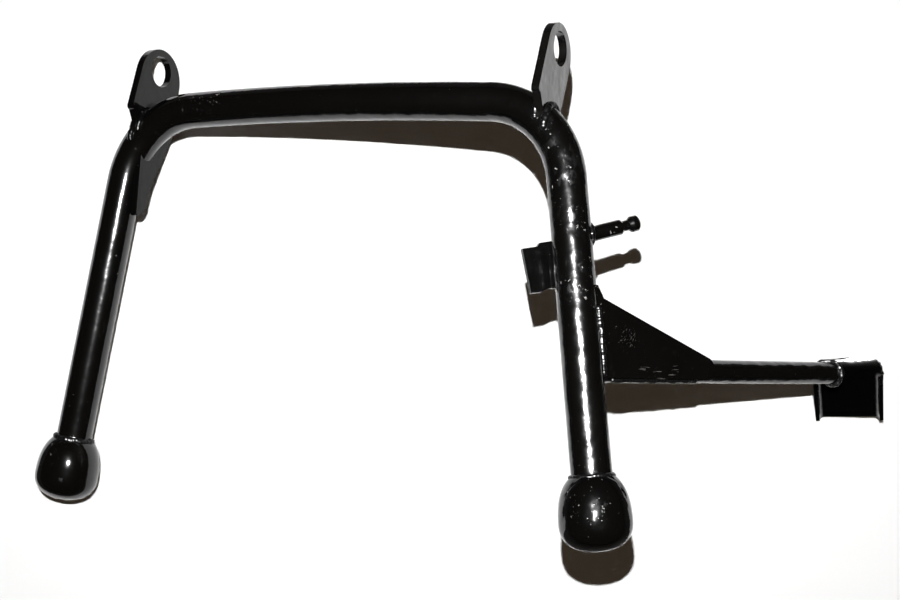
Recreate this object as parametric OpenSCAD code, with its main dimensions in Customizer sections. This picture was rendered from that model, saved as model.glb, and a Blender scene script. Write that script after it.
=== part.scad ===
// Motorcycle centre stand, a welded tube frame, lying on the ground.
// It is drawn in its own straight frame first: X along the pivot axis from the
// plain leg to the lever leg, Y from the feet up to the pivots, Z out of the
// plane of the bent tube. The last step lays it down on the three places it
// rests on. The origin is the middle of the plain side's pivot hole.

/* [Bent tube] */
// Outer diameter of the frame tube
tube_d = 28; // [24:0.5:32]
// Wall of the frame tube
tube_wall = 2.5; // [2:0.25:4]
// Distance from each lug's middle out to the corner point, where cross tube and leg would meet
corner_out = 9.3; // [8.5:0.1:10]
// Drop from the pivot axis to the plain side's corner point
drop_plain = 37.9; // [34:0.1:42]
// Drop from the pivot axis to the lever side's corner point
drop_lever = 41.7; // [38:0.1:45]
// Distance from the pivot axis forward to the plane of the tube
tube_lead = 9.6; // [6:0.1:12]
// Rise of the bowed cross tube at its middle
bow = 5.9; // [3:0.1:10]
// Centreline radius of the two bends
bend_r = 65; // [50:1:75]
// Outward lean of the plain leg
splay_plain = 8.2; // [6:0.1:10]
// Outward lean of the lever leg
splay_lever = 8.6; // [7:0.1:10]
// Length of the plain leg, corner point to end of foot
leg_plain = 316; // [290:1:340]
// Length of the lever leg, corner point to end of foot
leg_lever = 306; // [290:1:340]

/* [Foot caps] */
// Largest diameter of a foot cap
cap_d = 49.6; // [44:0.2:56]
// Height of a foot cap
cap_h = 49.5; // [46:0.5:54]
// Height of the widest band above the end
cap_band = 22; // [18:0.5:26]
// Radius of the rounded end corner
cap_corner = 13; // [9:0.5:16]
// Radius of the domed shoulder above the band
cap_shoulder_r = 46; // [42:1:52]
// Wall of the pressed cap
cap_wall = 3; // [2:0.25:4]
// Length of tube inside the cap
cap_grip = 12; // [8:0.5:16]

/* [Pivot lugs] */
// Distance between the middles of the two lug plates
pivot_pitch = 348; // [330:1:360]
// Thickness of a lug plate
lug_t = 6; // [4:0.5:8]
// Diameter of the pivot holes
pivot_d = 24.8; // [18:0.2:28]
// Radius of the plain side's ear
ear_plain_r = 24.5; // [22:0.5:26]
// Radius of the lever side's ear
ear_lever_r = 21.5; // [20:0.5:24]
// Length of the plain lug's tail below the pivot axis
tail_len = 126; // [110:1:136]

/* [Lever and gusset] */
// Outer diameter of the lever tube
lever_d = 17; // [14:0.5:20]
// Wall of the lever tube
lever_wall = 2.5; // [1.5:0.25:3]
// Length of the lever tube from the leg's middle
lever_len = 250.5; // [230:0.5:251]
// Height of the lever's root below the pivot axis
lever_drop = 225; // [218:0.5:232]
// Sideways step between lever axis and leg axis
lever_step = 7.9; // [6:0.1:10]
// Swing of the lever back out of the frame's plane
lever_back = 57.89; // [56:0.01:59]
// Rise of the lever
lever_rise = 6.1; // [5:0.1:7]
// Roll of the gusset about the lever
gusset_roll = 6.3; // [5:0.1:8]
// Thickness of the gusset plate
gusset_t = 4; // [3:0.5:5]
// Reach of the gusset along the lever
gusset_reach = 115; // [100:1:130]
// Height of the gusset up the leg
gusset_rise = 49; // [40:1:52]

/* [Foot pad] */
// Width of the pad over its rolled edges
pad_w = 53; // [46:1:58]
// Length of the pad's flat floor
pad_len = 69.5; // [62:0.5:74]
// Thickness of the pad's plate
pad_t = 3; // [2:0.25:3.5]
// Inside radius of the rolled side edges
pad_roll = 4; // [3:0.25:6]
// Outer radius of the far edge, rolled over the other way
pad_over_r = 10; // [8:0.5:12]
// How far the far edge turns over
pad_over = 66; // [50:1:80]
// Pitch of the pad about the cross direction
pad_pitch = 60.55; // [59:0.05:62]
// Lean of the pad sideways
pad_lean = 8.9; // [8:0.1:10]
// Turn of the pad in plan
pad_turn = 4.3; // [3:0.1:6]
// Distance from the lever's end, along its axis, to the pad's floor
pad_past = 12.38; // [12:0.02:12.8]
// Distance of the lever's axis from the pad's near side edge, on the floor
pad_seat_x = 23.28; // [21:0.01:25]
// Distance of the lever's axis from the floor's far end
pad_seat_y = 3; // [2:0.1:5]

/* [Spring post] */
// Shaft diameter of the spring post
post_d = 10.6; // [9:0.2:12]
// Neck diameter, where the spring hooks on
post_neck_d = 7.4; // [6:0.2:8.4]
// Diameter of the head
post_head_d = 11.2; // [10:0.2:13]
// Length of the post from the leg's middle
post_len = 52; // [48:0.5:58]
// Height of the head
post_head_h = 5; // [4:0.5:6]
// Width of the neck's waist
post_neck_w = 4.7; // [4:0.1:6]
// Height of the post's root below the pivot axis
post_drop = 136; // [130:1:142]
// Tilt of the post up towards the pivots
post_rise = 25.8; // [22:0.1:30]
// Swing of the post back out of the frame's plane
post_back = 43.5; // [40:0.5:48]

/* [Stop bracket] */
// Width of the bracket plate
stop_w = 35; // [32:0.5:38]
// Height of the bracket plate
stop_h = 31.5; // [28:0.5:35]
// Thickness of the bracket plate
stop_t = 4.2; // [3:0.2:5]
// Drop from the pivot axis to the bracket's lower edge line
stop_drop = 170; // [166:1:176]
// Reach of the bracket out from the line where it touches the leg
stop_reach = 27.3; // [24:0.1:29]
// Turn of the bracket about the leg
stop_turn = 39.5; // [34:0.5:44]
// Tilt of the bracket in its own plane
stop_tilt = 13.5; // [10:0.5:17]

/* [Welds] */
// Throat of the weld beads
weld = 3; // [2.5:0.25:3.5]
// Radius of the lump on each foot's bead
weld_lump = 4; // [3.5:0.1:4.5]

/* [Hidden] */
$fn = 72;
tube_r = tube_d / 2;
cap_r = cap_d / 2;
lever_r = lever_d / 2;
roll_r = pad_roll + pad_t;
// The straight tube laps into each bend, and lies this much inside its skin
lap = 0.5;
step = 0.05;

// Small vector helpers
function unit(v) = v / norm(v);
function rot3(a) =
  let (cx = cos(a[0]), sx = sin(a[0]), cy = cos(a[1]), sy = sin(a[1]), cz = cos(a[2]), sz = sin(a[2]))
  [[cz * cy, cz * sy * sx - sz * cx, cz * sy * cx + sz * sx],
   [sz * cy, sz * sy * sx + cz * cx, sz * sy * cx - cz * sx],
   [-sy, cy * sx, cy * cx]];
function arc(c, r, a0, a1, n) =
  [for (i = [0 : n]) c + r * [cos(a0 + (a1 - a0) * i / n), sin(a0 + (a1 - a0) * i / n)]];
// Angle, seen from a circle's centre, of the tangent point of a line through p
function tangent_at(c, r, p, side) =
  let (d = p - c) atan2(d[1], d[0]) + side * acos(r / norm(d));

// Bent tube in plan: side -1 is the plain leg, side 1 the lever leg
function corner(side) = [side * (pivot_pitch / 2 + corner_out), side < 0 ? -drop_plain : -drop_lever];
function splay(side) = side < 0 ? splay_plain : splay_lever;
function leg_len(side) = side < 0 ? leg_plain : leg_lever;
function leg_dir(side) = [side * sin(splay(side)), -cos(splay(side))];
function leg_in(side) = [-side * cos(splay(side)), -sin(splay(side))];
chord = corner(1) - corner(-1);
cross_r = (pow(norm(chord) / 2, 2) + bow * bow) / (2 * bow);
cross_c = (corner(1) + corner(-1)) / 2 - [-chord[1], chord[0]] / norm(chord) * (cross_r - bow);
// Distance down the leg at which its bend ends: the bend touches the cross tube's arc from inside
function bend_end(side) =
  let (v = corner(side) + bend_r * leg_in(side) - cross_c, b = v * leg_dir(side))
  -b - sqrt(b * b - v * v + pow(cross_r - bend_r, 2));
function bend_c(side) = corner(side) + bend_end(side) * leg_dir(side) + bend_r * leg_in(side);
function seam(side) = let (d = bend_c(side) - cross_c) atan2(d[1], d[0]);
function leg_at(side, drop) =
  let (k = corner(side), q = (-drop - k[1]) / leg_dir(side)[1])
  [k[0] + q * leg_dir(side)[0], -drop, tube_lead];
function cap_end(side) =
  let (k = corner(side) + leg_len(side) * leg_dir(side)) [k[0], k[1], tube_lead];

// Ear of each lug, in the plate's own plane: first value along Y, second along Z
ear_plain_c = [18 - ear_plain_r, -0.3];
ear_lever_c = [18 - ear_lever_r, 0.5];

// Lever, pad, post and bracket frames
lever_turn = [gusset_roll, lever_back, lever_rise];
lever_m = rot3(lever_turn);
lever_dir = [lever_m[0][0], lever_m[1][0], lever_m[2][0]];
lever_root = leg_at(1, lever_drop) - lever_step * [lever_m[0][2], 0, lever_m[2][2]];
pad_angles = [pad_pitch, pad_lean, pad_turn];
pad_m = rot3(pad_angles);
// The pad's lower near corner: the lever's axis meets the pad's floor at the seat
pad_at = lever_root + (lever_len + pad_past) * lever_dir
  - pad_m * [pad_seat_x, pad_len - pad_seat_y, -pad_roll];
pad_x = [pad_m[0][0], pad_m[1][0], pad_m[2][0]];
pad_z = [pad_m[0][2], pad_m[1][2], pad_m[2][2]];

// The three places the stand rests on, for a given upward direction n
function foot_touch(n) =
  let (d = [leg_dir(-1)[0], leg_dir(-1)[1], 0], s = unit(n - (n * d) * d))
  cap_end(-1) - (n * d > 0 ? cap_corner : cap_band) * d - cap_r * s;
function ear_touch(n) =
  let (s = unit([n[1], n[2]]))
  [-pivot_pitch / 2 - lug_t / 2, ear_plain_c[0] - ear_plain_r * s[0], ear_plain_c[1] - ear_plain_r * s[1]];
function pad_touch(n) =
  let (s = unit([pad_x * n, pad_z * n]))
  pad_at + roll_r * (1 - s[0]) * pad_x - roll_r * s[1] * pad_z;
function up_from(n) =
  unit(cross(pad_touch(n) - foot_touch(n), ear_touch(n) - foot_touch(n)));
up = up_from(up_from(up_from([0.43, -0.05, 0.9])));
// Heading on the ground
heading = -2.4;
lay = [atan2(up[1], up[2]), -asin(up[0]), heading];

paint = [0.05, 0.05, 0.055];
bead_paint = [0.09, 0.09, 0.095];

module lie() {
  rotate(lay) translate([pivot_pitch / 2, 0, 0]) children();
}

// Z runs down the leg from the corner point
module leg_frame(side) {
  d = leg_dir(side);
  translate([corner(side)[0], corner(side)[1], tube_lead])
    rotate([0, 0, atan2(d[1], d[0])]) rotate([0, 90, 0]) children();
}

// Z runs up the leg from the end of the foot
module cap_frame(side) {
  leg_frame(side) translate([0, 0, leg_len(side)]) rotate([180, 0, 0]) children();
}

// X runs out along the lever, Z is square to the gusset
module lever_frame() {
  translate(lever_root) rotate(lever_turn) children();
}

// X across the pad, Y up its floor, Z out of the welded side
module pad_frame() {
  translate(pad_at) rotate(pad_angles) children();
}

module post_frame() {
  translate(leg_at(1, post_drop)) rotate([0, post_back, post_rise]) rotate([0, 90, 0]) children();
}

// X across the bracket, Y up it, Z out of its face, which lies flush along the back of the leg
module stop_frame() {
  lean = -atan(sin(stop_turn) * tan(splay_lever));
  translate(leg_at(1, stop_drop)) rotate([lean, stop_turn, 0])
    translate([0, 0, step - tube_r]) rotate([0, 0, stop_tilt]) children();
}

// A stretch of the tube's path, a ring or a full rod by its two radii
module bent(c, r, a0, a1, outer, inner) {
  translate([c[0], c[1], tube_lead]) rotate([0, 0, a0]) rotate_extrude(angle = a1 - a0)
    translate([r, 0]) difference() {
      circle(r = outer);
      if (inner > 0) circle(r = inner);
    }
}

module leg_rod(side, outer, inner, stop) {
  start = bend_end(side) - lap;
  leg_frame(side) translate([0, 0, start]) difference() {
    cylinder(r = outer, h = stop - start);
    if (inner > 0) translate([0, 0, -1]) cylinder(r = inner, h = stop - start + 2);
  }
}

module bend_rod(side, outer, inner = 0) {
  lean = side > 0 ? splay(1) : 180 - splay(-1);
  if (side > 0) bent(bend_c(1), bend_r, lean, seam(1), outer, inner);
  else bent(bend_c(-1), bend_r, seam(-1), lean, outer, inner);
}

module cross_rod(outer, inner = 0) {
  over = lap / cross_r * 180 / PI;
  bent(cross_c, cross_r, seam(1) - over, seam(-1) + over, outer, inner);
}

// The tube near one corner as a full rod, to seat plates and beads on it
module corner_rod(side, r) {
  bend_rod(side, r);
  leg_rod(side, r - step, 0, leg_len(side) - cap_h);
  cross_rod(r - step);
}

module main_tube() {
  bore_r = tube_r - tube_wall;
  color(paint) lie() {
    cross_rod(tube_r - step, bore_r + step);
    for (side = [-1, 1]) {
      bend_rod(side, tube_r, bore_r);
      leg_rod(side, tube_r - step, bore_r + step, leg_len(side) - cap_h + cap_grip);
    }
  }
}

// Half profile of the foot, grown inward by a wall
module cap_half(in) {
  difference() {
    union() {
      translate([0, cap_corner]) square([cap_r - in, cap_band - cap_corner]);
      translate([0, in]) square([cap_r - cap_corner, cap_corner - in + 0.01]);
      intersection() {
        translate([cap_r - cap_corner, cap_corner]) circle(r = cap_corner - in);
        translate([cap_r - cap_corner, 0]) square([cap_corner, cap_corner + 0.01]);
      }
      intersection() {
        translate([cap_r - cap_shoulder_r, cap_band]) circle(r = cap_shoulder_r - in);
        translate([0, cap_band - 0.01]) square([cap_r, cap_h - cap_band + 0.01]);
      }
    }
  }
}

module foot_cap(side) {
  color(paint) lie() cap_frame(side) rotate_extrude() difference() {
    cap_half(0);
    intersection() {
      cap_half(cap_wall);
      square([cap_r, cap_h - cap_wall]);
    }
    translate([0, cap_h - cap_grip]) square([tube_r, cap_grip + 1]);
  }
}

// Bead round the neck of a foot, with the lump where its run starts and ends
module weld_foot(side) {
  color(bead_paint) lie() cap_frame(side) difference() {
    union() {
      rotate_extrude() translate([tube_r + 0.5, cap_h]) circle(r = weld);
      translate([-3, tube_r + 1, cap_h]) sphere(r = weld_lump);
    }
    cylinder(r = tube_r, h = 2 * cap_h);
    rotate_extrude() cap_half(0);
  }
}

// Lug plates, drawn with Y first and Z second, and stood up across the pivot axis
module plate_across(at, t) {
  translate([at - t / 2, 0, 0]) rotate([90, 0, 90]) linear_extrude(t) children();
}

module lug_plain_outline() {
  c = ear_plain_c;
  near = [-37, 31.5];
  far = [-51, -20.6];
  a0 = tangent_at(c, ear_plain_r, near, -1);
  a1 = tangent_at(c, ear_plain_r, far, 1);
  polygon(concat(
    arc(near + [2.6, -3], 3, 170, 82, 4),
    arc(c, ear_plain_r, a0, a1, 30),
    [far, [-98, 2.2]],
    arc([16.5 - tail_len, 16], 11, 270, 182, 6),
    [[-tail_len + 8, 17], [-60, 17], [-50, 22]]));
}

module lug_lever_outline() {
  c = ear_lever_c;
  near = [-38, 34.5];
  far = [-43, -7.8];
  a0 = tangent_at(c, ear_lever_r, near, -1);
  a1 = tangent_at(c, ear_lever_r, far, 1);
  polygon(concat(
    arc(near + [2.8, -3.2], 3, 180, 76, 4),
    arc(c, ear_lever_r, a0, a1, 30),
    [far, [-58, -2.5], [-60, 20], [-50, 24]]));
}

module pivot_lug_left() {
  color(paint) lie() difference() {
    plate_across(-pivot_pitch / 2, lug_t) lug_plain_outline();
    corner_rod(-1, tube_r);
    rotate([0, 90, 0]) translate([0, 0, -pivot_pitch / 2]) cylinder(d = pivot_d, h = 3 * lug_t, center = true);
  }
}

module pivot_lug_right() {
  color(paint) lie() difference() {
    plate_across(pivot_pitch / 2, lug_t) lug_lever_outline();
    corner_rod(1, tube_r);
    rotate([0, 90, 0]) translate([0, 0, pivot_pitch / 2]) cylinder(d = pivot_d, h = 3 * lug_t, center = true);
  }
}

// Bead on one face of a lug plate, where the plate meets the tube
module lug_bead(side, face) {
  color(bead_paint) lie() difference() {
    intersection() {
      plate_across(side * pivot_pitch / 2 + face * (lug_t + weld) / 2, weld)
        if (side < 0) lug_plain_outline(); else lug_lever_outline();
      corner_rod(side, tube_r + weld);
    }
    corner_rod(side, tube_r);
  }
}

module lever_rod(r, stop) {
  rotate([0, 90, 0]) cylinder(r = r, h = stop);
}

module leg_full(r) {
  leg_rod(1, r, 0, leg_lever - cap_h);
}

module lever_tube() {
  color(paint) lie() difference() {
    lever_frame() difference() {
      lever_rod(lever_r, lever_len);
      translate([-1, 0, 0]) lever_rod(lever_r - lever_wall, lever_len + 2);
    }
    leg_full(tube_r);
    pad_solid();
  }
}

// Saddle bead round the lever where it leaves the leg, open on top where the gusset lies
module weld_lever_root() {
  color(bead_paint) lie() difference() {
    intersection() {
      lever_frame() translate([2, 0, 0]) lever_rod(lever_r + weld, 3 * tube_r);
      leg_full(tube_r + weld);
    }
    lever_frame() {
      lever_rod(lever_r, 4 * tube_r);
      translate([0, -2 * lever_r, lever_r - lap]) cube(4 * tube_r);
    }
    leg_full(tube_r);
  }
}

module gusset_solid() {
  nose_r = 8;
  nose = [gusset_reach - nose_r, 2.6];
  low = -4.8;
  top = [[13.2, gusset_rise], [7.6, gusset_rise + 9]];
  lever_frame() translate([0, 0, lever_r]) linear_extrude(gusset_t)
    polygon(concat(
      [[0, low], [nose[0], nose[1] - nose_r]],
      arc(nose, nose_r, -80, 62, 10),
      top, [[0, top[1][1]]]));
}

module lever_gusset() {
  color(paint) lie() difference() {
    gusset_solid();
    leg_full(tube_r);
  }
}

// Bead in the corner between the gusset's face and the leg
module weld_gusset_leg() {
  color(bead_paint) lie() difference() {
    intersection() {
      lever_frame() translate([0, -5, lever_r + gusset_t]) cube([3 * tube_r, gusset_rise, weld]);
      leg_full(tube_r + weld);
    }
    leg_full(tube_r);
  }
}

// Bead along the gusset's lower edge, on the lever
module weld_gusset_lever() {
  color(bead_paint) lie() difference() {
    lever_frame() translate([tube_r + 10, -6.2, lever_r - 0.6]) {
      rotate([0, 90, 0]) cylinder(r = weld, h = gusset_reach - tube_r - 22);
      translate([gusset_reach - tube_r - 22, 0, 0]) sphere(r = weld);
    }
    lever_frame() lever_rod(lever_r, lever_len);
    gusset_solid();
    leg_full(tube_r);
  }
}

// The pad: a floor, two side edges rolled towards the lever, and a far edge rolled away
module pad_edge(at, side) {
  translate([at, 0]) rotate([90, 0, 180]) mirror([side > 0 ? 1 : 0, 0, 0])
    translate([0, 0, 0]) linear_extrude(pad_len - 2) intersection() {
      difference() {
        circle(r = roll_r);
        circle(r = pad_roll);
      }
      translate([0, -roll_r]) square(roll_r);
    }
}

module pad_solid() {
  pad_frame() {
    translate([roll_r, 0, -roll_r]) cube([pad_w - 2 * roll_r, pad_len, pad_t]);
    difference() {
      union() {
        pad_edge(roll_r, -1);
        pad_edge(pad_w - roll_r, 1);
      }
      for (at = [roll_r, pad_w - roll_r])
        translate([at, pad_len, 0]) rotate([0, 0, 45]) cube([8, 8, 3 * roll_r], center = true);
    }
    translate([roll_r, pad_len, -pad_roll - pad_over_r]) rotate([90, 0, 90])
      linear_extrude(pad_w - 2 * roll_r) intersection() {
        difference() {
          circle(r = pad_over_r);
          circle(r = pad_over_r - pad_t);
        }
        polygon([[0, 0], [0, 2 * pad_over_r],
          2 * pad_over_r * [1, 1],
          2 * pad_over_r * [cos(90 - pad_over), sin(90 - pad_over)]]);
      }
  }
}

// All that lies behind the pad's welded face, to keep beads off it
module pad_behind() {
  pad_frame() {
    translate([-weld, 0, -3 * roll_r]) cube([pad_w, pad_len, 3 * roll_r - pad_roll]);
    translate([-weld, pad_len, -pad_roll - pad_over_r]) rotate([0, 90, 0])
      cylinder(r = pad_over_r, h = pad_w);
  }
}

module foot_pad() {
  color(paint) lie() pad_solid();
}

// Bead round the lever's end, down onto the pad
module weld_pad() {
  color(bead_paint) lie() difference() {
    lever_frame() translate([lever_len - 5, 0, 0]) lever_rod(lever_r + weld, 5 + weld);
    lever_frame() lever_rod(lever_r, lever_len);
    pad_solid();
    pad_behind();
  }
}

module post_profile() {
  flare = 2.4;
  bevel = 1.9;
  chamfer = 0.8;
  neck_end = post_len - post_head_h - flare;
  neck_start = neck_end - post_neck_w;
  polygon([[0, 0], [post_d / 2, 0], [post_d / 2, neck_start - bevel], [post_neck_d / 2, neck_start],
    [post_neck_d / 2, neck_end], [post_head_d / 2, neck_end + flare], [post_head_d / 2, post_len - chamfer],
    [post_head_d / 2 - chamfer, post_len], [0, post_len]]);
}

module spring_post() {
  color(paint) lie() difference() {
    post_frame() rotate_extrude() post_profile();
    leg_full(tube_r);
  }
}

module weld_post() {
  color(bead_paint) lie() difference() {
    post_frame() cylinder(r = post_d / 2 + 0.8 * weld, h = tube_r + 1.6 * weld);
    leg_full(tube_r);
    post_frame() cylinder(d = post_d, h = 3 * tube_r);
  }
}

// The plate's top edge steps up near its outer corner, and its lower edge has a shallow notch
module stop_bracket() {
  low = 3.2;
  top = low + stop_h;
  ledge = [10.8, 2.2];
  notch_r = 12;
  notch_deep = 1.5;
  color(paint) lie() stop_frame() translate([-stop_reach, 0, -stop_t]) linear_extrude(stop_t)
    difference() {
      polygon([[0, low], [stop_w, low], [stop_w, top + ledge[1]],
        [ledge[0] + 2, top + ledge[1]], [ledge[0], top], [0, top]]);
      translate([14, low + notch_deep - notch_r]) circle(r = notch_r);
    }
}

// Bead between the bracket's face and the leg
module weld_bracket() {
  color(bead_paint) lie() difference() {
    intersection() {
      stop_frame() translate([-2 * tube_r, 5, 0]) cube([2 * tube_r - weld, stop_h - 4, tube_r / 2]);
      leg_full(tube_r + weld);
    }
    leg_full(tube_r);
  }
}

main_tube();
foot_cap(-1);  // foot_cap_left
foot_cap(1);  // foot_cap_right
pivot_lug_left();
pivot_lug_right();
lever_tube();
lever_gusset();
foot_pad();
spring_post();
stop_bracket();
lug_bead(-1, 1);  // weld_lug_left_inner
lug_bead(-1, -1);  // weld_lug_left_outer
lug_bead(1, -1);  // weld_lug_right_inner
lug_bead(1, 1);  // weld_lug_right_outer
weld_foot(-1);  // weld_foot_left
weld_foot(1);  // weld_foot_right
weld_lever_root();
weld_gusset_leg();
weld_gusset_lever();
weld_pad();
weld_post();
weld_bracket();
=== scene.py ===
"""A motorcycle's centre stand, dressed for the camera: gloss black enamel over welded steel, lit by a flash.

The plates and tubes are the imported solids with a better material. The feet, the foot pad and the weld beads
are rebuilt here as surfaces. Everything is in metres, in the frame's own axes.
"""

import functools

import bmesh
import bpy
import numpy as np
from mathutils import Euler, Matrix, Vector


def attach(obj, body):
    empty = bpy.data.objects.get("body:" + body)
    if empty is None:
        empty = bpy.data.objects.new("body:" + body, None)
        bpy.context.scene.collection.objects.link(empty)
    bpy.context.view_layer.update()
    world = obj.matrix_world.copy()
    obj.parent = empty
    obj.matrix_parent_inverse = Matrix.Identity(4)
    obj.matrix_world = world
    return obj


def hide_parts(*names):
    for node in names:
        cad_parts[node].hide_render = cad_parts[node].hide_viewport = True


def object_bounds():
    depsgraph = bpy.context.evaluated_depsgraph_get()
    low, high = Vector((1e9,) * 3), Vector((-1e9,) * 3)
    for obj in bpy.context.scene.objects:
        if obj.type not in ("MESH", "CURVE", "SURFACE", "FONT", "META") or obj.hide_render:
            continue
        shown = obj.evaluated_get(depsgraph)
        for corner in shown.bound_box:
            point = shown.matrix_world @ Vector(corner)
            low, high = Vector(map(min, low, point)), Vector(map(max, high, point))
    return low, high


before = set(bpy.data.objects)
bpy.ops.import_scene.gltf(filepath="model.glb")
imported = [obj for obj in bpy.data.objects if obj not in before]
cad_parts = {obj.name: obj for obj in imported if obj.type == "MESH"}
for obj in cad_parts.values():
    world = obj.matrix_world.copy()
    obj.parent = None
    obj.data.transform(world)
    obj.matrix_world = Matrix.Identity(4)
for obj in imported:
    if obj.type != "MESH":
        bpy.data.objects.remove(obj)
cad_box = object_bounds()
floor_z = cad_box[0][2]

# Driving dimensions of the stand, in its own straight frame.
# X runs along the pivot axis, Y from the feet up to the pivots, Z out of the plane of the bent tube.
# The plain leg is on the left in the picture, and the lever's leg is on the right.
PLAIN, LEVER = -1, 1
PIVOT_PITCH = 0.348
LAY = np.radians([-2.85736, -25.4844, -2.4])  # how the stand lies on the table, turned about X, Y and Z

# Bent tube
TUBE_R = 0.014
TUBE_LEAD = 0.0096  # from the pivot axis forward to the tube's plane
BEND_R = 0.065
BEND_CENTRE = {PLAIN: (-0.12713, -0.10090), LEVER: (0.126852, -0.103138)}  # X and Y, each within 0.5 mm
CORNER_OUT = 0.0093  # from a pivot out to the corner, where the axes of leg and cross tube would meet
CORNER_DROP = {PLAIN: 0.0379, LEVER: 0.0417}
SPLAY = {PLAIN: np.radians(8.2), LEVER: np.radians(8.6)}
LEG_LEN = {PLAIN: 0.316, LEVER: 0.306}

# Foot caps
CAP_H = 0.0495
CAP_R = 0.0248
CAP_WIDE = 0.0195  # height of the widest ring
CAP_LIP = 0.0012  # how far the neck stands off the leg
CAP_FULL = 2.35  # 2 would be an ellipse, and more is fuller

# Pivot lugs: the plates' thickness, and how far their beads run round the tube, 0 being its outside
LUG_T = 0.006
LUG_WELD = {PLAIN: np.radians([-88, 96]), LEVER: np.radians([-76, 92])}

# Lever tube and its gusset
LEVER_R, LEVER_LEN = 0.0085, 0.2505
LEVER_DROP = 0.225
LEVER_STEP = 0.0079  # sideways, between the axes of lever and leg
LEVER_TURN = np.radians([6.3, 57.89, 6.1])
LEVER_WELD = np.radians([118, 422])  # the root's bead, open where the gusset lies
GUSSET_T = 0.004
GUSSET_REACH = 0.115
GUSSET_FACE = LEVER_R + GUSSET_T
GUSSET_WELD = (-0.004, 0.044)  # the bead up the leg, from the lever's axis
GUSSET_RUN = (TUBE_R + 0.010, GUSSET_REACH - 0.012)  # the bead along the lever, from the leg's axis
GUSSET_LOW = 0.0062  # how far that bead is below the lever's axis

# Foot pad: from the lever's end to the floor of the pad, and from the lever's axis to the pad's edges
PAD_PAST, PAD_SEAT_X, PAD_SEAT_Y = 0.01238, 0.02328, 0.003
PAD_TURN = np.radians([60.55, 8.9, 4.3])
PAD_W, PAD_LEN, PAD_T = 0.053, 0.0695, 0.003
PAD_ROLL = 0.004
PAD_OVER_R, PAD_OVER = 0.0096, np.radians(73)  # the far edge, rolled away
PAD_CORNER = 0.012
PAD_OPEN = 0.008  # length in which the turned-up sides open out before the far edge
PAD_RAG, PAD_RAG_PITCH = 0.0004, 0.003696  # how far the cut edges wander, and how often

# Spring post
POST_R = 0.0053
POST_DROP = 0.136
POST_TURN = np.radians([0.0, 43.5, 25.8])

# Each weld bead: its radius, how lumpy it is and the seed of its lumps
BEADS = {
    "weld_foot_left": (0.0024, 0.30, 11),
    "weld_foot_right": (0.0017, 0.30, 12),
    "weld_lug_left_inner": (0.0026, 0.22, 21),
    "weld_lug_left_outer": (0.0026, 0.22, 22),
    "weld_lug_right_inner": (0.0026, 0.22, 23),
    "weld_lug_right_outer": (0.0026, 0.22, 24),
    "weld_gusset_leg": (0.0022, 0.22, 31),
    "weld_gusset_lever": (0.0020, 0.22, 32),
    "weld_lever_root": (0.0024, 0.22, 33),
    "weld_pad": (0.0019, 0.30, 34),
    "weld_post": (0.0023, 0.22, 35),
}
BEAD_OFF = 0.0006  # a bead's middle stands this far off the plate or tube that it runs round
BEAD_STEP = 0.0004  # between a bead's rings
RIPPLE = 0.0026  # between the welder's ripples
LUMP = 0.05  # length of bead in which its lumps come round again

# Camera and flash, from the photograph's own geometry
EYE = (0.24546, -0.21632, 1.09502)
EYE_TURN = np.radians([1.594, 0.377, 0.087])
LENS_MM, SENSOR_MM = 54.0, 36.0
FLASH = (0.2220, -0.0676, 1.2433)
TABLE_LEVEL = 1.25  # radiance of the white sheet under the flash
GLINT = 13.0  # how much brighter the bare tube of the flash shows in gloss than the light it sheds
LAMP_SIZE, GLINT_SIZE = (0.010, 0.008), (0.024, 0.016)

# The white sheet under the stand is a little larger than the picture, and has a soft edge
SHEET_X, SHEET_Y = (-0.16, 0.70), (-0.46, 0.10)
SHEET_EDGE = 0.004
TABLE_REACH = 6.0

# Colours
BLACK = "#060606"
PRIMER = ("#3c3a38", "#807c78")
TABLE, SHEET = "#4a4846", "#ffffff"
ROOM = "#312a22"


def turn(angles):
    """Rotation matrix that turns about X, then Y, then Z."""
    return np.array(Euler(angles, "XYZ").to_matrix())


STAND = turn(LAY)


def lie(points):
    """Lays points of the straight frame down, with the plain side's pivot hole at the origin."""
    return (np.asarray(points) + [PIVOT_PITCH / 2, 0, 0]) @ STAND.T


def leg_dir(side):
    """Way down a leg, splayed outwards from the square."""
    return np.array([side * np.sin(SPLAY[side]), -np.cos(SPLAY[side]), 0.0])


def corner(side):
    """Where the axes of a leg and of the cross tube would meet."""
    return np.array([side * (PIVOT_PITCH / 2 + CORNER_OUT), -CORNER_DROP[side], TUBE_LEAD])


def leg_point(side, along):
    """Point on a leg's axis, by its distance down from the corner."""
    return corner(side) + along * leg_dir(side)


def leg_at(side, drop):
    """Point on a leg's axis, by its drop below the pivot axis."""
    return leg_point(side, (drop - CORNER_DROP[side]) / np.cos(SPLAY[side]))


lever_m = turn(LEVER_TURN)
lever_out = lever_m[:, 0]
lever_root = leg_at(LEVER, LEVER_DROP) - LEVER_STEP * lever_m[:, 2] * [1, 0, 1]
pad_m = turn(PAD_TURN)
pad_seat = lever_root + (LEVER_LEN + PAD_PAST) * lever_out
pad_corner = pad_seat - pad_m @ [PAD_SEAT_X, PAD_LEN - PAD_SEAT_Y, -PAD_ROLL]
post_m = turn(POST_TURN)
post_root = leg_at(LEVER, POST_DROP)


def on_lever(points):
    """Points of the lever's frame (X out along it, Z square to the gusset) in the straight frame."""
    return lever_root + np.asarray(points) @ lever_m.T


# Materials


def linear(hex_colour):
    """sRGB hex to linear RGBA."""
    c = np.array([int(hex_colour[i : i + 2], 16) for i in (1, 3, 5)]) / 255
    return (*np.where(c <= 0.04045, c / 12.92, ((c + 0.055) / 1.055) ** 2.4), 1.0)


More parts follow.
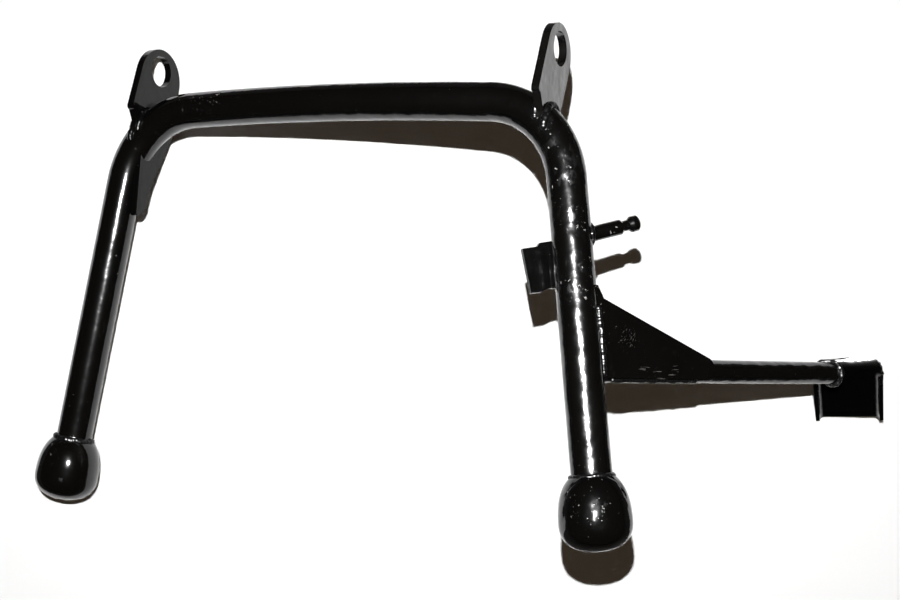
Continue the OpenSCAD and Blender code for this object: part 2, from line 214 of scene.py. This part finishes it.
def add(tree, kind, inputs=None, out=0, **settings):
    """Adds a node and gives one of its outputs.

    inputs maps names or numbers of inputs to values or to other nodes' outputs; settings are the node's own.
    """
    made = tree.nodes.new("ShaderNode" + kind)
    for key, value in settings.items():
        setattr(made, key, value)
    for key, value in (inputs or {}).items():
        if isinstance(value, bpy.types.NodeSocket):
            tree.links.new(value, made.inputs[key])
        else:
            made.inputs[key].default_value = value
    return made.outputs[out] if made.outputs else None


# Patterns in the enamel: a feature's size, detail and roughness, and for some their turn and stretch
ALONG_LEVER = tuple(Matrix((STAND @ lever_m).T.tolist()).to_euler("XYZ"))
PATTERNS = {
    "peel": (0.0026, 2.0, 0.50),
    "runs": (0.011, 1.5, 0.45),
    "stones": (0.0034, 5.0, 0.62),
    "blotches": (0.030, 2.0, 0.50),
    "dust": (0.0011, 3.0, 0.60),
    "scuffs": (0.007, 4.0, 0.65, (0, 0, 0), (1, 0.6, 1)),
    "scratches": (0.004, 3.0, 0.60, (0.3, 0.2, 0.7), (7, 0.35, 7)),
    "scrapes": (0.004, 3.0, 0.60, ALONG_LEVER, (0.3, 4, 4)),
}
BLOTCH = 0.06  # how much rougher the enamel is in one blotch than in another
CHIP_DEPTH = 0.00008

# Where the enamel has suffered, and on the spring post where the pale marks are painted highlights, each a
# point of the straight frame and a radius
RUBBED = [
    (leg_at(LEVER, 0.075) + [0.006, 0, 0.010], 0.040),
    (leg_at(LEVER, 0.120) + [0.010, 0, 0.008], 0.030),
    (leg_at(LEVER, 0.165) + [0.010, 0, 0.008], 0.030),
]
CHIPS_AND_POST_GLINTS = [
    (np.array([-0.105, -0.030, 0.018]), 0.032),
    (leg_at(PLAIN, 0.235) + [-0.010, 0, 0.008], 0.018),
    (leg_point(LEVER, LEG_LEN[LEVER] - 0.030) + [0, 0, 0.020], 0.030),
    (leg_point(PLAIN, LEG_LEN[PLAIN] - 0.040) + [0, 0, 0.012], 0.020),
    # on the spring post the pale primer marks are painted highlights, not chips
    (post_root + 0.030 * post_m[:, 0], 0.030),
]
KNOCKED = [(on_lever([0.034, 0.022, GUSSET_FACE]), 0.014)]
SCRAPED = [(on_lever([out, -0.001, GUSSET_FACE]), 0.011) for out in (0.050, 0.064, 0.078, 0.090)]


def nearness(tree, coords, zones):
    """1 in the heart of any of the zones, falling smoothly to 0 at their edges."""
    found = 0.0
    for place, reach in zones:
        off = add(tree, "VectorMath", {0: coords, 1: tuple(lie(place))}, "Value", operation="DISTANCE")
        near = add(tree, "MapRange", {0: off, 1: reach, 2: reach * 0.3}, interpolation_type="SMOOTHSTEP")
        found = add(tree, "Math", {0: found, 1: near}, operation="MAXIMUM")
    return found


def enamel(name, gloss=0.10, far_gloss=0.16, chips=0.77, peel=0.000025, sag=0.0003, body=0.5, flat=None):
    """Brushed-on gloss enamel over steel: black, wet-looking, with runs, peel and chips down to primer.

    The eye gets hard bright reflections that wobble with the runs, and pale specks where stones took the
    paint; on the spring post more of the pale specks are painted highlights. gloss and far_gloss are its
    roughness at the plain leg and on the lever's side, which is handled more. peel and sag are the heights
    of its peel and runs. body is how strongly it shines, except on what faces the way of flat, where the
    shine is taken off as painted shade.
    """
    material = bpy.data.materials.new(name)
    material.use_nodes = True
    tree = material.node_tree
    tree.nodes.clear()
    node = functools.partial(add, tree)
    coords = node("TexCoord", out="Object")
    across = node("SeparateXYZ", {0: coords})
    pattern = {}
    for label, (size, detail, rough, *laid) in PATTERNS.items():
        at = coords
        if laid:
            at = node("Mapping", {"Vector": at, "Rotation": laid[0]})
            at = node("Mapping", {"Vector": at, "Scale": laid[1]})
        noise = {"Vector": at, "Scale": 1 / size, "Detail": detail, "Roughness": rough}
        pattern[label] = node("TexNoise", noise)

    # chips, dust specks and scratches lay the primer bare, and more of them in the worn places; on the spring
    # post these pale marks are painted highlights
    rubbed = nearness(tree, coords, RUBBED)
    zone = node("Math", {0: rubbed, 1: nearness(tree, coords, CHIPS_AND_POST_GLINTS)}, operation="MAXIMUM")
    hit = node("Math", {0: zone, 1: 0.075, 2: pattern["stones"]}, operation="MULTIPLY_ADD")
    hit = node("Math", {0: pattern["blotches"], 1: 0.10, 2: hit}, operation="MULTIPLY_ADD")
    chip = node("MapRange", {0: hit, 1: chips, 2: chips + 0.012}, interpolation_type="SMOOTHSTEP")
    speck = node("Math", {0: zone, 1: 0.04, 2: pattern["dust"]}, operation="MULTIPLY_ADD")
    speck = node("MapRange", {0: speck, 1: 0.765, 2: 0.785}, interpolation_type="SMOOTHSTEP")
    line = node("Math", {0: zone, 1: 0.04, 2: pattern["scratches"]}, operation="MULTIPLY_ADD")
    line = node("Math", {0: nearness(tree, coords, KNOCKED), 1: 0.17, 2: line}, operation="MULTIPLY_ADD")
    line = node("MapRange", {0: line, 1: 0.775, 2: 0.80}, interpolation_type="SMOOTHSTEP")
    scrape = nearness(tree, coords, SCRAPED)
    scrape = node("Math", {0: scrape, 1: 0.18, 2: pattern["scrapes"]}, operation="MULTIPLY_ADD")
    scrape = node("MapRange", {0: scrape, 1: 0.78, 2: 0.82}, interpolation_type="SMOOTHSTEP")
    line = node("Math", {0: line, 1: scrape}, operation="MAXIMUM")
    line = node("Math", {0: line, 1: 0.6}, operation="MULTIPLY")
    bare = node("Math", {0: chip, 1: speck}, operation="MAXIMUM")
    bare = node("Math", {0: bare, 1: line}, operation="MAXIMUM")

    # a colour mix takes its factor at 0 and its colours at 6 and 7, and gives its result at 2
    primer = {0: pattern["dust"], 6: linear(PRIMER[0]), 7: linear(PRIMER[1])}
    primer = node("Mix", primer, 2, data_type="RGBA")
    shade = node("Mix", {0: bare, 6: linear(BLACK), 7: primer}, 2, data_type="RGBA")

    # blotches make it rougher and smoother by turns, and matt scuffs and bare primer rougher
    rough = {0: across, 1: 0.02, 2: 0.30, 3: gloss - BLOTCH / 2, 4: far_gloss - BLOTCH / 2}
    rough = node("MapRange", rough, interpolation_type="SMOOTHSTEP")
    rough = node("Math", {0: pattern["blotches"], 1: BLOTCH, 2: rough}, operation="MULTIPLY_ADD")
    matt = node("Math", {0: rubbed, 1: 0.12, 2: pattern["scuffs"]}, operation="MULTIPLY_ADD")
    matt = node("MapRange", {0: matt, 1: 0.64, 2: 0.72}, interpolation_type="SMOOTHSTEP")
    rough = node("Math", {0: matt, 1: 0.10, 2: rough}, operation="MULTIPLY_ADD")
    rough = node("Math", {0: bare, 1: 0.40, 2: rough}, operation="MULTIPLY_ADD", use_clamp=True)

    # the runs are heavier towards the lever's side
    runny = {0: across, 1: 0.05, 2: 0.32, 3: sag, 4: 3 * sag}
    runny = node("MapRange", runny, interpolation_type="SMOOTHSTEP")
    height = node("Math", {0: pattern["runs"], 1: runny}, operation="MULTIPLY")
    height = node("Math", {0: pattern["peel"], 1: peel, 2: height}, operation="MULTIPLY_ADD")
    height = node("Math", {0: chip, 1: -CHIP_DEPTH, 2: height}, operation="MULTIPLY_ADD")
    bump = node("Bump", {"Height": height, "Strength": 1.0, "Distance": 1.0})

    shine = body
    # what faces the way of flat loses its shine, as painted shade
    if flat is not None:
        facing = node("NewGeometry", out="Normal")
        facing = node("VectorMath", {0: facing, 1: tuple(flat)}, "Value", operation="DOT_PRODUCT")
        facing = {0: facing, 1: 0.70, 2: 0.98, 3: body, 4: 0.0}
        shine = node("MapRange", facing, interpolation_type="SMOOTHSTEP")
    coat = {"Base Color": shade, "Roughness": rough, "Normal": bump, "IOR": 1.52}
    coat["Specular IOR Level"] = shine
    node("OutputMaterial", {"Surface": node("BsdfPrincipled", coat)})
    return material


# The tube's coat gives long hard streaks, and the feet's a small crisp glint
paint = enamel("gloss_enamel", far_gloss=0.13)
foot_paint = enamel("gloss_enamel_on_foot", gloss=0.08, far_gloss=0.09)
# On the beads the coat is rough and thin, so they only glimmer
bead_paint = enamel("gloss_enamel_on_weld", 0.30, 0.30, chips=0.75, peel=0.00004, sag=0.0001, body=0.14)
# The plates show the room evenly, with painted shade and sheen: their shine is set one by one, so the left lug
# shows dark grey, the bracket nearly black and the right lug pale
left_lug_paint_painted_shade = enamel("enamel_with_painted_shade_on_left_lug", body=0.22)
deep_painted_shade_paint = enamel("enamel_with_deep_painted_shade", 0.16, 0.16, body=0.08)
right_lug_paint_painted_sheen = enamel("enamel_with_painted_sheen_on_right_lug", 0.15, 0.15, body=1.0)
# On the pad's flat the shine is taken off as painted shade, so it is plain black, and only its turned edges
# shine
pad_paint_painted_shade = enamel("enamel_with_painted_shade_on_pad_flat", 0.20, 0.20, body=0.42, flat=STAND @ pad_m[:, 2])

COATS = {
    "foot_cap_left": foot_paint,
    "foot_cap_right": foot_paint,
    "foot_pad": pad_paint_painted_shade,
    # painted shade and sheen: the shine on these plates and on the left lug's beads is set to read darker or
    # paler
    "pivot_lug_left": left_lug_paint_painted_shade,
    "pivot_lug_right": right_lug_paint_painted_sheen,
    "stop_bracket": deep_painted_shade_paint,
    "weld_bracket": deep_painted_shade_paint,
    "weld_lug_left_inner": deep_painted_shade_paint,
    "weld_lug_left_outer": deep_painted_shade_paint,
}


def coat_of(name):
    """The enamel on a node: its own, or else what is on all beads or on all the rest."""
    return COATS.get(name, bead_paint if name.startswith("weld_") else paint)


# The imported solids, each with its enamel
for name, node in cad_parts.items():
    node.data.materials.clear()
    node.data.materials.append(coat_of(name))


# Surfaces


def grid_mesh(name, grid, wrap_u=False, wrap_v=False, more=None, smooth=True):
    """Surface through a grid of points, rows u by columns v, where a wrapped direction closes on itself.

    more holds further four-cornered faces, by their points' numbers. Points in one place are merged.
    """
    rows, cols = grid.shape[:2]
    u = np.arange(rows if wrap_u else rows - 1)[:, None]
    v = np.arange(cols if wrap_v else cols - 1)[None, :]
    u1, v1 = (u + 1) % rows, (v + 1) % cols
    quads = np.stack([u * cols + v, u1 * cols + v, u1 * cols + v1, u * cols + v1], axis=-1).reshape(-1, 4)
    if more is not None:
        quads = np.concatenate([quads, more])
    mesh = bpy.data.meshes.new(name)
    mesh.from_pydata(grid.reshape(-1, 3).tolist(), [], quads.tolist())
    mesh.polygons.foreach_set("use_smooth", np.full(len(quads), smooth))
    merged = bmesh.new()
    merged.from_mesh(mesh)
    bmesh.ops.remove_doubles(merged, verts=merged.verts, dist=1e-7)
    merged.to_mesh(mesh)
    merged.free()
    mesh.update()
    piece = bpy.data.objects.new(name, mesh)
    bpy.context.scene.collection.objects.link(piece)
    return piece


def stand_in(piece, name):
    """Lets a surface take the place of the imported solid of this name."""
    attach(piece, "root")
    piece.data.materials.append(coat_of(name))
    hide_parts(name)


def square_to(axis):
    """Two directions square to an axis and to each other."""
    side = np.cross(axis, [0, 0, 1.0])
    side /= np.linalg.norm(side)
    return side, np.cross(axis, side)


def foot_cap(name, side):
    """Pressed foot: a ring of each height turned round the leg, closed at the neck and at the end.

    Its radius is CAP_R * (1 - share ** CAP_FULL) ** (1 / CAP_FULL), where share is the distance from the
    widest ring as a part of the half it is in: a long one, cut off by the neck, and a short one to the end.
    """
    neck = (TUBE_R + CAP_LIP) / CAP_R
    tall = (CAP_H - CAP_WIDE) / (1 - neck**CAP_FULL) ** (1 / CAP_FULL)
    above = np.linspace(CAP_H - CAP_WIDE, 0, 50)
    below = CAP_WIDE * np.sin(np.linspace(0, np.pi / 2, 60))[1:]
    share = np.concatenate([above / tall, below / CAP_WIDE])
    radius = CAP_R * (1 - np.clip(share, 0, 1) ** CAP_FULL) ** (1 / CAP_FULL)
    radius = np.concatenate([[0], radius])
    height = np.concatenate([[CAP_H - 0.0002], CAP_WIDE + above, CAP_WIDE - below])
    spin = np.linspace(0, 2 * np.pi, 120, endpoint=False)
    across, up = square_to(-leg_dir(side))
    ring = np.cos(spin)[:, None] * across + np.sin(spin)[:, None] * up
    axis = leg_point(side, LEG_LEN[side]) - height[:, None, None] * leg_dir(side)
    grid = axis + radius[:, None, None] * ring
    stand_in(grid_mesh(name, lie(grid), wrap_v=True), name)


foot_cap("foot_cap_left", PLAIN)
foot_cap("foot_cap_right", LEVER)


# Weld beads


def resample(path, closed):
    """Even steps of about BEAD_STEP along a path, their distances along it, and its length."""
    loop = np.vstack([path, path[:1]]) if closed else path
    reach = np.concatenate([[0], np.cumsum(np.linalg.norm(np.diff(loop, axis=0), axis=1))])
    count = max(8, int(reach[-1] / BEAD_STEP))
    at = np.linspace(0, reach[-1], count, endpoint=not closed)
    return np.stack([np.interp(at, reach, loop[:, k]) for k in range(3)], axis=1), at, reach[-1]


def weld_bead(name, path, closed=False):
    """Round bead along a path: each ring's radius follows the welder's ripples and a few uneven lumps.

    It is radius * (1 + ripple + slow swell + lumps round the ring), and falls to 0 at the ends of an open bead.
    """
    radius, lumps, seed = BEADS[name]
    rng = np.random.default_rng(seed)
    points, at, length = resample(path, closed)
    ahead = np.roll(points, -1, 0) - np.roll(points, 1, 0)
    if not closed:
        ahead[0], ahead[-1] = points[1] - points[0], points[-1] - points[-2]
    ahead /= np.linalg.norm(ahead, axis=1)[:, None]
    # any direction that no bead runs along
    side = np.cross(ahead, [0.31, 0.27, 0.91])
    side /= np.linalg.norm(side, axis=1)[:, None]
    up = np.cross(side, ahead)
    way = 2 * np.pi * at / length
    swell = sum(rng.uniform(0.4, 1.0) * np.sin(k * way + rng.uniform(0, 6.28)) for k in (1, 2, 3, 5, 8))
    ripple = np.sin(max(1, round(length / RIPPLE)) * way + 1.6 * swell)
    ring = np.linspace(0, 2 * np.pi, 28, endpoint=False)
    knobs = sum(
        rng.uniform(0.3, 1.0)
        * np.sin(int(k * length / LUMP + 1) * way[:, None] + m * ring + rng.uniform(0, 6.28))
        for k, m in ((2, 1), (3, 2), (5, 1), (7, 3), (11, 2))
    )
    reach = radius * (1 + 0.05 * ripple[:, None] + lumps * (0.32 * swell[:, None] + 0.22 * knobs))
    if not closed:
        edge = np.clip(np.minimum(at, length - at) / (1.1 * radius), 0, 1)
        reach = reach * np.sqrt(1 - (1 - edge) ** 2)[:, None]
    out = np.cos(ring)[:, None] * side[:, None, :] + np.sin(ring)[:, None] * up[:, None, :]
    grid = points[:, None, :] + reach[..., None] * out
    stand_in(grid_mesh(name, lie(grid), wrap_u=closed, wrap_v=True), name)


circle = np.linspace(0, 2 * np.pi, 240, endpoint=False)


def foot_bead(name, side):
    """Ring round the leg where the foot's neck ends."""
    across, up = square_to(leg_dir(side))
    ring = np.cos(circle)[:, None] * across + np.sin(circle)[:, None] * up
    weld_bead(name, leg_point(side, LEG_LEN[side] - CAP_H) + (TUBE_R + 0.0002) * ring, closed=True)


def lug_bead(name, side, face):
    """Where a lug plate's face cuts the bend's skin, followed round the tube.

    At the angle phi the skin is a circle of BEND_R + TUBE_R * cos(phi) about the bend's centre, and the
    plate's face is a plane of constant x, which cuts that circle.
    """
    phi = np.linspace(*LUG_WELD[side], 160)
    centre = BEND_CENTRE[side]
    x = side * PIVOT_PITCH / 2 + face * (LUG_T / 2 + BEAD_OFF)
    y = centre[1] + np.sqrt(np.maximum((BEND_R + TUBE_R * np.cos(phi)) ** 2 - (x - centre[0]) ** 2, 0))
    weld_bead(name, np.stack([np.full_like(phi, x), y, TUBE_LEAD + TUBE_R * np.sin(phi)], axis=1))


def tube_ring(root, turned, radius, angles=circle):
    """Ring about the X axis of a turned frame, at its root."""
    return root + np.stack([0 * angles, radius * np.cos(angles), radius * np.sin(angles)], axis=1) @ turned.T


def onto_leg(start, aim):
    """Moves points along aim to the lever leg's skin, the far crossing.

    With both flattened square to the leg, that is where |start + t * aim| is TUBE_R, the larger root for t.
    """
    down = leg_dir(LEVER)
    offset = start - corner(LEVER)
    a = aim - (aim @ down) * down
    b = offset - (offset @ down)[:, None] * down
    aa, ab, bb = a @ a, b @ a, (b * b).sum(1)
    reach = (-ab + np.sqrt(np.maximum(ab**2 - aa * (bb - TUBE_R**2), 0))) / aa
    return start + reach[:, None] * aim


foot_bead("weld_foot_left", PLAIN)
foot_bead("weld_foot_right", LEVER)
lug_bead("weld_lug_left_inner", PLAIN, 1)
lug_bead("weld_lug_left_outer", PLAIN, -1)
lug_bead("weld_lug_right_inner", LEVER, -1)
lug_bead("weld_lug_right_outer", LEVER, 1)

# up the leg, beside the gusset's face
rise = np.linspace(*GUSSET_WELD, 60)
seat = on_lever(np.stack([0 * rise, rise, 0 * rise + GUSSET_FACE + 0.0008], axis=1))
weld_bead("weld_gusset_leg", onto_leg(seat, lever_out) + BEAD_OFF * lever_out)

# along the lever, under the gusset's lower edge
run = np.linspace(*GUSSET_RUN, 120)
seat = on_lever(np.stack([run, 0 * run - GUSSET_LOW, 0 * run + LEVER_R - BEAD_OFF], axis=1))
weld_bead("weld_gusset_lever", seat)

# round the lever's root, open where the gusset lies
seat = tube_ring(lever_root, lever_m, LEVER_R + BEAD_OFF, np.linspace(*LEVER_WELD, 200))
weld_bead("weld_lever_root", onto_leg(seat, lever_out))

# round the lever's end, on the pad's floor, but never past the end of the lever
seat = tube_ring(lever_root, lever_m, LEVER_R + BEAD_OFF)
pad_up = pad_m[:, 2]
reach = (pad_corner - PAD_ROLL * pad_up - seat) @ pad_up / (lever_out @ pad_up) - BEAD_OFF
weld_bead("weld_pad", seat + np.minimum(reach, LEVER_LEN)[:, None] * lever_out, closed=True)


# Foot pad


def sheet_mesh(name, top, thick):
    """Closed sheet: a grid for its top face, the same set back by its thickness, and the cut edges."""
    out = np.cross(np.gradient(top, axis=1), np.gradient(top, axis=0))
    out /= np.linalg.norm(out, axis=2)[..., None]
    rows, cols = top.shape[:2]
    row = np.arange(rows - 1)
    under = 2 * rows - 1 - row
    first = cols * np.stack([row, row + 1, under - 1, under], axis=1)
    edges = np.concatenate([first[:, ::-1], first + cols - 1])
    ring = np.concatenate([top, (top - thick * out)[::-1]])
    return grid_mesh(name, lie(ring), wrap_u=True, more=edges, smooth=False)


def foot_pad():
    """One pressed sheet: flat, its far edge rolled away, its sides turned up and its corners rounded.

    A point's run goes along the flat and then round an arc of PAD_OVER_R. Across, it goes over the flat and
    then round a quarter circle of PAD_ROLL, whose angle falls and radius grows towards the far edge.
    """
    rng = np.random.default_rng(41)
    opening = PAD_LEN - PAD_OPEN
    run = np.linspace(opening, PAD_LEN + PAD_OVER_R * PAD_OVER, 60)[1:]
    run = np.concatenate([np.linspace(0, opening, 40), run])
    rolled = np.clip(run - PAD_LEN, 0, None) / PAD_OVER_R
    lift = np.stack([0 * rolled, np.sin(rolled), np.cos(rolled)], axis=1)

    # half the width at each run: the flat and the arc, less the round corner, with a ragged cut
    half_flat = PAD_W / 2 - PAD_ROLL - PAD_T
    arc = PAD_ROLL * np.pi / 2
    from_end = np.maximum(PAD_CORNER - (run[-1] - run), 0)
    rounded = PAD_CORNER - np.sqrt(PAD_CORNER**2 - from_end**2)
    ragged = PAD_RAG * np.sin(2 * np.pi * run / PAD_RAG_PITCH + rng.uniform(0, 6))
    ragged = ragged * np.clip((run - 0.05) / 0.01, 0, 1)
    half = half_flat + arc - rounded + ragged
    share = [np.linspace(-1, -0.72, 18), np.linspace(-0.72, 0.72, 30)[1:-1], np.linspace(0.72, 1, 18)]
    share = np.concatenate(share)[None, :]
    across = share * half[:, None]

    # the roll is a little wider at the outer corner
    over_r = PAD_OVER_R * (1 + 0.12 * share)
    ahead = np.minimum(run, PAD_LEN)[:, None] + over_r * np.sin(rolled)[:, None]
    down = PAD_ROLL + over_r * (1 - np.cos(rolled))[:, None]

    # the sides keep a trace of their bend to the end
    bend = (np.pi / 2 * (1 - np.clip((run - PAD_LEN + 0.006) / PAD_OPEN, 0, 1)) + 0.02)[:, None]
    turned = np.maximum(np.abs(across) - half_flat, 0) / arc * bend
    x = PAD_W / 2 + np.sign(across) * (np.minimum(np.abs(across), half_flat) + arc / bend * np.sin(turned))
    up = arc / bend * (1 - np.cos(turned))
    top = np.stack([x, ahead, -down], axis=2) + up[..., None] * lift[:, None, :]
    stand_in(sheet_mesh("foot_pad_sheet", pad_corner + top @ pad_m.T, PAD_T), "foot_pad")


foot_pad()

# round the spring post's root
seat = tube_ring(post_root, post_m, POST_R + 0.0004)
weld_bead("weld_post", onto_leg(seat, post_m[:, 0]), closed=True)


# Floor, light and camera


def sheet_on_table():
    """White sheet on a dark table: the eye gets a bright ground that stops just outside the picture."""
    material = bpy.data.materials.new("white_sheet_on_dark_table")
    material.use_nodes = True
    tree = material.node_tree
    tree.nodes.clear()
    node = functools.partial(add, tree)
    coords = node("TexCoord", out="Object")
    on_sheet = 1.0
    for axis, (low, high) in (("X", SHEET_X), ("Y", SHEET_Y)):
        off = node("SeparateXYZ", {0: coords}, axis)
        off = node("Math", {0: off, 1: (low + high) / 2}, operation="SUBTRACT")
        off = node("Math", {0: off}, operation="ABSOLUTE")
        half = (high - low) / 2
        within = node("MapRange", {0: off, 1: half, 2: half - SHEET_EDGE}, interpolation_type="SMOOTHSTEP")
        on_sheet = node("Math", {0: on_sheet, 1: within}, operation="MULTIPLY")
    cover = node("Mix", {0: on_sheet, 6: linear(TABLE), 7: linear(SHEET)}, 2, data_type="RGBA")
    node("OutputMaterial", {"Surface": node("BsdfDiffuse", {"Color": cover})})
    return material


ends = np.array([-TABLE_REACH, TABLE_REACH])
corners = np.stack([*np.meshgrid(ends[::-1], ends, indexing="ij"), np.zeros((2, 2))], axis=2)
floor = grid_mesh("table_top", corners + [EYE[0], EYE[1], floor_z])
floor.data.materials.append(sheet_on_table())

scene = bpy.context.scene


def flash_lamp(name, level, size, in_gloss_only):
    """Flash tube that gives the white sheet below it this radiance, or that only shows in gloss."""
    lamp = bpy.data.lights.new(name, "AREA")
    lamp.shape = "RECTANGLE"
    lamp.size, lamp.size_y = size
    lamp.energy = level * np.pi**2 * (FLASH[2] - floor_z) ** 2
    piece = bpy.data.objects.new(name, lamp)
    piece.location = FLASH
    piece.visible_diffuse = not in_gloss_only
    scene.collection.objects.link(piece)


flash_lamp("flash", TABLE_LEVEL, LAMP_SIZE, False)
flash_lamp("flash_glint", TABLE_LEVEL * GLINT, GLINT_SIZE, True)

# the dim warm room round it
world = bpy.data.worlds.new("dim_room")
scene.world = world
world.use_nodes = True
world.node_tree.nodes["Background"].inputs["Color"].default_value = linear(ROOM)

camera = bpy.data.cameras.new("camera")
camera.lens, camera.sensor_width, camera.clip_end = LENS_MM, SENSOR_MM, 50.0
camera_piece = bpy.data.objects.new("camera", camera)
camera_piece.location, camera_piece.rotation_euler = EYE, EYE_TURN
scene.collection.objects.link(camera_piece)
scene.camera = camera_piece
scene.view_settings.view_transform = "Standard"
